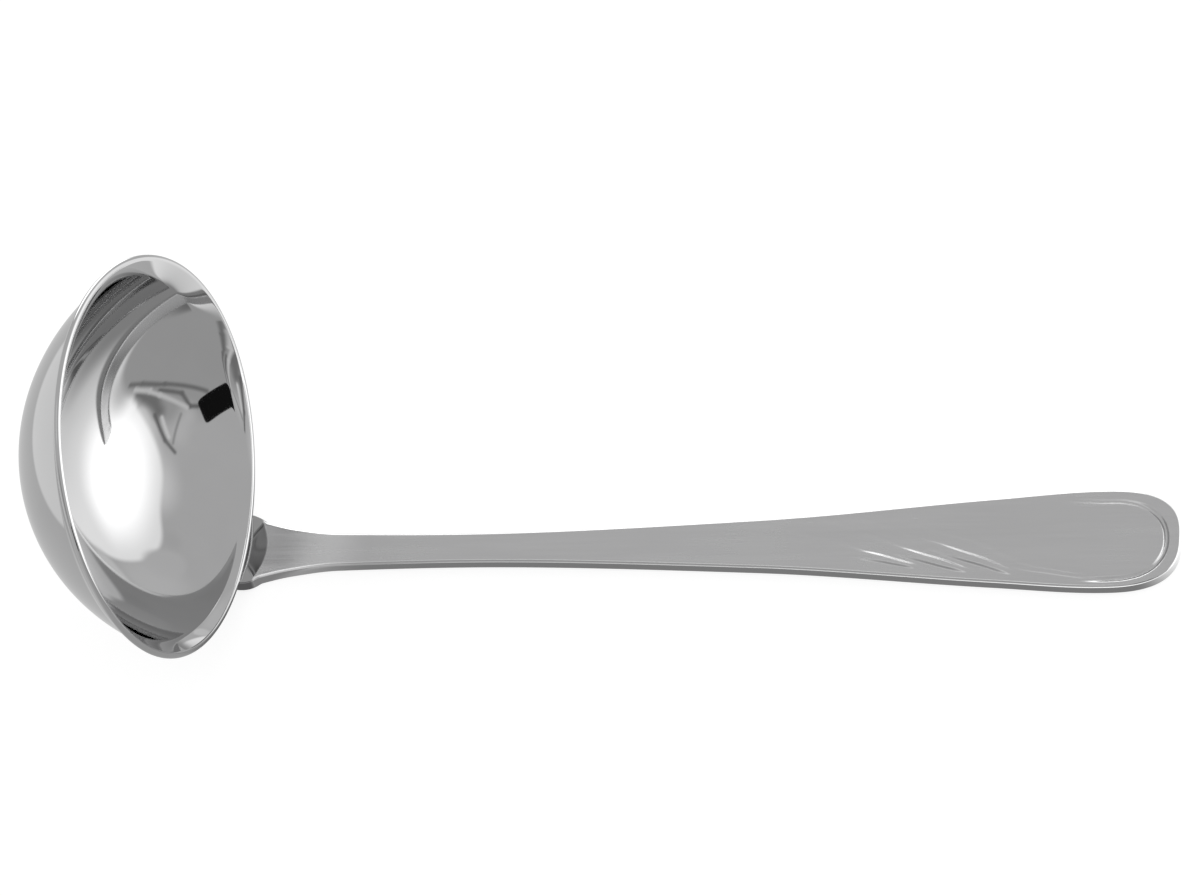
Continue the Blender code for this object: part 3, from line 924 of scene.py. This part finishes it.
@dataclass
class Studio:
    """Photographer's tent: pale cloth walls with soft lights, a white table, and the camera.

    Lengths are in millimetres in the ladle's own axes, and the table's size is in metres. The eye is the
    bowl's middle, (along, up), from which every place on the walls and the table is named.
    """

    wall_level: float = 0.70
    veil: Patch = Patch((-65.0, -38.0), (41.0, 75.0), 0.55, inner=0.85, squareness=4.0)
    folds: tuple[Fold, ...] = (
        Fold((-26.0, -7.0), (-33.5, 4.0), 6.0, 0.28),
        Fold((-33.5, 4.0), (-32.5, 11.0), 7.0, 0.28),
        Fold((-45.0, 26.0), (-35.0, 28.0), 11.0, 0.78),
        Fold((-19.3, -17.2), (-28.0, -10.3), 2.0, 0.28),
        Fold((-28.0, -10.3), (-42.7, 2.4), 2.2, 0.26),
        Fold((-42.7, 2.4), (-61.4, 21.6), 2.2, 0.26),
        Fold((-39.0, 3.1), (-48.1, 13.5), 2.2, 0.24),
        Fold((-48.1, 13.5), (-48.8, 22.4), 2.2, 0.24),
        Fold((-48.8, 22.4), (-53.2, 25.5), 2.2, 0.22),
        Fold((-23.2, -11.2), (-34.0, -1.3), 2.2, 0.90),
        Fold((-34.0, -1.3), (-37.7, 5.2), 2.2, 0.90),
        Fold((-37.7, 5.2), (-47.0, 21.9), 2.2, 0.90),
        Fold((-29.7, 10.9), (-25.5, 24.1), 2.2, 0.22),
        Fold((-25.5, 24.1), (-25.0, 33.0), 2.2, 0.25),
        Fold((-32.0, 15.0), (-28.4, 25.0), 2.0, 1.00),
        Fold((-42.0, 22.1), (-28.0, 29.1), 1.6, 0.46),
    )
    lights: tuple[Patch, ...] = (
        Patch((68.0, 8.0), (22.0, 26.0), 0.78, inner=0.3),
        Patch((2.0, 28.0), (30.0, 24.0), 1.0, inner=0.2),
        Patch((44.0, 38.0), (12.0, 9.0), 0.67, inner=0.2),
        Patch((16.0, -12.0), (42.0, 49.0), 1.38, inner=0.92, squareness=3.2),
        Patch((60.0, 24.0), (14.0, 16.0), 0.76, inner=0.6),
        Patch((10.0, 3.0), (46.0, 35.0), 2.45, inner=0.25),
        Patch((107.0, 11.0), (21.0, 25.0), 2.6, inner=0.8),
        Patch((-125.0, 41.0), (33.0, 19.0), 0.40),
        Patch((-165.0, 77.0), (70.0, 6.0), 1.3),
    )
    card: Patch = Patch((-67.0, 29.8), (13.8, 7.3), 0.01, inner=0.94, squareness=8.0)
    table_size: float = 6.0
    table_grey: float = 0.8
    table_seen_grey: float = 0.3
    table_seen_glow: float = 0.82
    table_level: float = 0.69
    table_patches: tuple[Patch, ...] = (
        Patch((16.0, -70.0), (52.0, 52.0), 0.64, inner=0.1, squareness=3.0),
        Patch((-17.0, -22.0), (17.0, 19.0), 0.85, inner=0.2),
        Patch((28.0, -62.0), (40.0, 20.0), 0.40, inner=0.3),
        Patch((-40.0, -40.0), (32.0, 42.0), 0.55, inner=0.85),
        Patch((66.0, -20.0), (13.0, 12.0), 0.9),
        Patch((-45.0, -68.0), (50.0, 25.0), 0.27, inner=0.7),
        Patch((172.0, -2.0), (40.0, 9.5), 1.02, inner=0.85, squareness=2.5),
        Patch((-36.0, -90.0), (34.0, 46.0), 0.24, inner=0.8),
    )
    handle_shade: float = 0.34
    shade_half_width: tuple[float, float, float, float] = (45.0, 160.0, 4.3, 10.4)
    shade_softness: float = 1.5
    shade_start: tuple[float, float] = (12.0, 20.0)
    shade_end: tuple[float, float] = (158.0, 172.0)
    eye: tuple[float, float] = (-10.0, 28.0)
    camera_place: tuple[float, float, float] = (207.64, -284.14, 492.35)
    camera_right: tuple[float, float, float] = (0.9680, 0.1133, -0.2239)
    camera_up: tuple[float, float, float] = (0.0206, 0.8533, 0.5210)
    camera_back: tuple[float, float, float] = (0.2501, -0.5089, 0.8237)
    focal_pixels: float = 3587.7

    def mix(self, graph: Graph, factor: object, low: object, high: object) -> bpy.types.NodeSocket:
        """Adds low + factor · (high - low)."""
        return graph.math("MULTIPLY_ADD", factor, graph.math("SUBTRACT", high, low), low)

    def patch_factor(self, graph: Graph, azimuth: object, height: object,
                     patch: Patch) -> bpy.types.NodeSocket:
        """Adds a factor that is 1 inside a patch and fades to 0 at its edge."""
        turned = graph.math("WRAP", graph.math("SUBTRACT", azimuth, patch.centre[0]), 180.0, -180.0)
        raised = graph.math("SUBTRACT", height, patch.centre[1])
        gaps = [graph.math("ABSOLUTE", graph.math("DIVIDE", part, radius))
                for part, radius in zip((turned, raised), patch.radii)]
        powers = [graph.math("POWER", gap, patch.squareness) for gap in gaps]
        share = graph.math("POWER", graph.math("ADD", *powers), 1 / patch.squareness)
        return graph.ease(share, patch.inner, 1.0, 1.0, 0.0)

    def patched(self, graph: Graph, azimuth: object, height: object, level: object,
                patches: tuple[Patch, ...]) -> bpy.types.NodeSocket:
        """Adds patches one over the other to a level."""
        for patch in patches:
            level = self.mix(graph, self.patch_factor(graph, azimuth, height, patch), level, patch.level)
        return level

    def fold_factor(self, graph: Graph, place: object, fold: Fold) -> bpy.types.NodeSocket:
        """Adds a factor that is 1 on a fold's line and fades to 0 at its width.

        The nearest place of the line is start + t (end - start), with t = (place - start) · (end - start)
        over the line's length squared, held between 0 and 1.
        """
        along = np.subtract(fold.end, fold.start)
        start, run = (*fold.start, 0.0), (*along.tolist(), 0.0)
        gone = graph.vector_math("SUBTRACT", {0: place, 1: start})["Vector"]
        dot = graph.vector_math("DOT_PRODUCT", {0: gone, 1: run})["Value"]
        share = graph.math("DIVIDE", dot, float(along @ along), clamp=True)
        nearest = graph.vector_math("SCALE", {0: run, "Scale": share})["Vector"]
        gap = graph.vector_math("DISTANCE", {0: gone, 1: nearest})["Value"]
        return graph.ease(gap, 0.0, fold.width, 1.0, 0.0)

    def folded(self, graph: Graph, azimuth: object, height: object, level: object) -> bpy.types.NodeSocket:
        """Adds the folds over a level."""
        place = graph.add("ShaderNodeCombineXYZ", {"X": azimuth, "Y": height}).outputs["Vector"]
        for fold in self.folds:
            level = self.mix(graph, self.fold_factor(graph, place, fold), level, fold.level)
        return level

    def shaded(self, graph: Graph, from_bowl: object, aside: object, level: object) -> bpy.types.NodeSocket:
        """Adds the handle's shade on the table over a level: a strip that widens as the handle does.

        Args:
            graph: The table's graph.
            from_bowl: Distance along the handle from the bowl's middle.
            aside: Distance to the side of the handle's middle line.
            level: The level without the shade.

        Returns:
            The level with the shade.
        """
        edge = graph.ease(from_bowl, *self.shade_half_width)
        beside = graph.ease(graph.math("SUBTRACT", aside, edge), 0.0, self.shade_softness, 1.0, 0.0)
        begun = graph.ease(from_bowl, *self.shade_start)
        reached = graph.math("MULTIPLY", begun, graph.ease(from_bowl, *self.shade_end, 1.0, 0.0))
        return self.mix(graph, graph.math("MULTIPLY", beside, reached), level, self.handle_shade)

    def make_walls(self) -> None:
        """Makes the tent as the world: a level for each direction, and plain white behind the object.

        The veil, the lights, the folds and the card lie over the wall's level in this order.
        """
        world = bpy.data.worlds.new("tent")
        bpy.context.scene.world = world
        world.use_nodes = True
        graph = Graph(world.node_tree)
        graph.tree.nodes.clear()
        way = graph.add("ShaderNodeTexCoord").outputs["Generated"]
        parts = graph.add("ShaderNodeSeparateXYZ", {"Vector": way}).outputs
        azimuth = graph.math("DEGREES", graph.math("ARCTAN2", parts["Y"], parts["X"]))
        height = graph.math("DEGREES", graph.math("ARCSINE", parts["Z"]))
        level = self.patched(graph, azimuth, height, self.wall_level, (self.veil, *self.lights))
        level = self.folded(graph, azimuth, height, level)
        level = self.patched(graph, azimuth, height, level, (self.card,))
        seen = graph.add("ShaderNodeLightPath").outputs["Is Camera Ray"]
        shown = self.mix(graph, seen, level, 1.0)
        background = graph.add("ShaderNodeBackground", {"Color": (1, 1, 1, 1), "Strength": shown})
        output = graph.add("ShaderNodeOutputWorld")
        graph.tree.links.new(background.outputs[0], output.inputs["Surface"])

    def make_table(self, shift: float) -> bpy.types.Object:
        """Makes the white table that the ladle lies on.

        The camera sees it plain white with the ladle's shadow, and the steel sees the light that lies on it:
        the walls' veil and lights, continued at the height at which the bowl's middle sees them, the table's
        own patches, the folds and the handle's shade.
        """
        half = self.table_size / 2
        corners = np.array([(-half, -half, 0), (half, -half, 0), (half, half, 0), (-half, half, 0)])
        table = new_piece("table", corners, [np.array([[0, 1, 2, 3]])])
        material, graph, shader = new_material("table_white")
        graph.tree.nodes.remove(shader)
        place = graph.add("ShaderNodeTexCoord").outputs["Object"]
        parts = graph.add("ShaderNodeSeparateXYZ", {"Vector": place}).outputs
        along = graph.math("SUBTRACT", parts["X"], (shift + self.eye[0]) * MM)
        azimuth = graph.math("DEGREES", graph.math("ARCTAN2", parts["Y"], along))
        squares = graph.math("ADD", graph.math("POWER", along, 2.0), graph.math("POWER", parts["Y"], 2.0))
        distance = graph.math("DIVIDE", graph.math("SQRT", squares), MM)
        height = graph.math("DEGREES", graph.math("ARCTAN2", -self.eye[1], distance))
        level = self.patched(graph, azimuth, height, self.table_level,
                             (self.veil, *self.lights, *self.table_patches))
        level = self.folded(graph, azimuth, height, level)
        aside = graph.math("DIVIDE", graph.math("ABSOLUTE", parts["Y"]), MM)
        level = self.shaded(graph, graph.math("DIVIDE", along, MM), aside, level)
        path = graph.add("ShaderNodeLightPath").outputs
        matt = graph.add("ShaderNodeBsdfDiffuse", {"Color": (*(self.table_grey,) * 3, 1.0)})
        lit = graph.add("ShaderNodeEmission", {"Color": (1, 1, 1, 1), "Strength": level})
        faint = graph.add("ShaderNodeBsdfDiffuse", {"Color": (*(self.table_seen_grey,) * 3, 1.0)})
        glow = graph.add("ShaderNodeEmission", {"Color": (1, 1, 1, 1), "Strength": self.table_seen_glow})
        seen = graph.add("ShaderNodeAddShader", {0: faint.outputs[0], 1: glow.outputs[0]})
        steel_sees = graph.add("ShaderNodeMixShader", {"Fac": path["Is Glossy Ray"], 1: matt.outputs[0],
                                                       2: lit.outputs[0]})
        both = graph.add("ShaderNodeMixShader", {"Fac": path["Is Camera Ray"], 1: steel_sees.outputs[0],
                                                 2: seen.outputs[0]})
        output = graph.tree.nodes["Material Output"]
        graph.tree.links.new(both.outputs[0], output.inputs["Surface"])
        table.data.materials.append(material)
        table.location.z = -TABLE_DROP
        return table

    def make_camera(self, shift: float) -> bpy.types.Object:
        """Makes the camera where it stood for the photograph, with the ladle moved along X by a shift."""
        data = bpy.data.cameras.new("camera")
        data.sensor_width = SENSOR_MM
        data.sensor_fit = "HORIZONTAL"
        data.lens = self.focal_pixels / PHOTO_WIDTH * SENSOR_MM
        data.clip_start = 0.01
        camera = bpy.data.objects.new("camera", data)
        bpy.context.scene.collection.objects.link(camera)
        axes = Matrix((self.camera_right, self.camera_up, self.camera_back)).transposed()
        place = (Vector(self.camera_place) + Vector((shift, 0.0, 0.0))) * MM
        camera.matrix_world = Matrix.Translation(place) @ axes.to_4x4()
        bpy.context.scene.camera = camera
        return camera

    def make(self, shift: float) -> None:
        """Makes the walls, the table and the camera, for a ladle moved along X by a shift."""
        self.make_walls()
        self.make_table(shift)
        self.make_camera(shift)
        bpy.context.scene.view_settings.view_transform = "Standard"


# Relief of the handle's face, as (along, across, half the flat width, height). Three waves run down over
# the face, a fourth one joins the border line, and the border line follows the end.
FIRST_WAVE = ReliefLine(((74.0, 4.0, 0.1, 0.0), (84.0, 3.0, 0.15, 0.01), (94.0, 0.9, 0.3, 0.015),
                         (100.5, -1.2, 0.45, 0.02), (104.5, -2.5, 0.5, 0.09), (107.5, -3.2, 0.35, 0.25),
                         (110.2, -3.95, 0.2, 0.27), (112.6, -4.6, 0.08, 0.18), (113.6, -4.9, 0.05, 0.0)),
                        wall=0.52)
SECOND_WAVE = ReliefLine(((85.0, 5.0, 0.1, 0.0), (93.0, 4.6, 0.15, 0.01), (100.0, 2.7, 0.3, 0.015),
                          (106.0, -0.2, 0.5, 0.02), (110.5, -1.9, 0.5, 0.09), (114.0, -3.1, 0.4, 0.26),
                          (117.5, -4.25, 0.35, 0.29), (120.0, -5.1, 0.2, 0.24), (122.2, -5.75, 0.05, 0.0)),
                         wall=0.52)
THIRD_WAVE = ReliefLine(((96.0, 5.6, 0.1, 0.0), (101.0, 4.0, 0.15, 0.01), (106.0, 2.6, 0.25, 0.015),
                         (112.0, 0.2, 0.4, 0.02), (116.5, -1.3, 0.5, 0.09), (120.3, -2.8, 0.5, 0.26),
                         (124.2, -4.2, 0.4, 0.29), (127.0, -5.4, 0.25, 0.24), (129.2, -6.3, 0.05, 0.0)),
                        wall=0.52)
FOURTH_WAVE = ReliefLine(((112.0, 2.4, 0.3, 0.0), (117.0, 0.6, 0.4, 0.03), (121.8, -0.9, 0.4, 0.05),
                          (126.7, -3.4, 0.4, 0.05), (130.0, -5.0, 0.3, 0.06), (134.3, -5.9, 0.2, 0.07),
                          (139.1, -6.8, 0.15, 0.06), (142.0, -7.3, 0.1, 0.0)),
                         wall=0.4)
BORDER_LINE = ReliefLine(((135.0, 7.2, 0.02, 0.0), (138.0, 6.9, 0.02, -0.06), (142.0, 6.65, 0.02, -0.10),
                          (146.4, 6.45, 0.02, -0.12), (148.7, 5.8, 0.02, -0.16), (150.3, 4.8, 0.02, -0.28),
                          (151.6, 3.5, 0.02, -0.40), (152.4, 1.9, 0.02, -0.45), (152.7, 0.2, 0.02, -0.45),
                          (152.6, -1.8, 0.02, -0.45), (151.9, -3.7, 0.02, -0.45), (150.7, -5.3, 0.02, -0.42),
                          (148.9, -6.5, 0.02, -0.35), (146.6, -7.2, 0.02, -0.30), (143.5, -7.45, 0.02, -0.30),
                          (140.5, -7.45, 0.02, -0.12), (138.0, -7.4, 0.02, 0.0)),
                         wall=0.6)


def main() -> None:
    """Builds the ladle's pieces in order, then the studio."""
    logging.basicConfig(level=logging.INFO, format="%(name)s: %(message)s")
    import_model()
    form = BowlForm()
    relief = (FIRST_WAVE, SECOND_WAVE, THIRD_WAVE, FOURTH_WAVE, BORDER_LINE)
    handle = Handle(form, SatinPolish("handle_satin"), relief)
    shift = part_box("handle")[1].x / MM - handle.reach
    parts = (Bowl(form, MirrorPolish("bowl_mirror")), handle, WeldBead(handle, DressedWeld("weld_dressed")))
    for part in parts:
        piece = part.make(shift)
        LOG.info("%s: %d faces", piece.name, len(piece.data.polygons))
    Studio().make(shift)


if __name__ == "__main__":
    main()
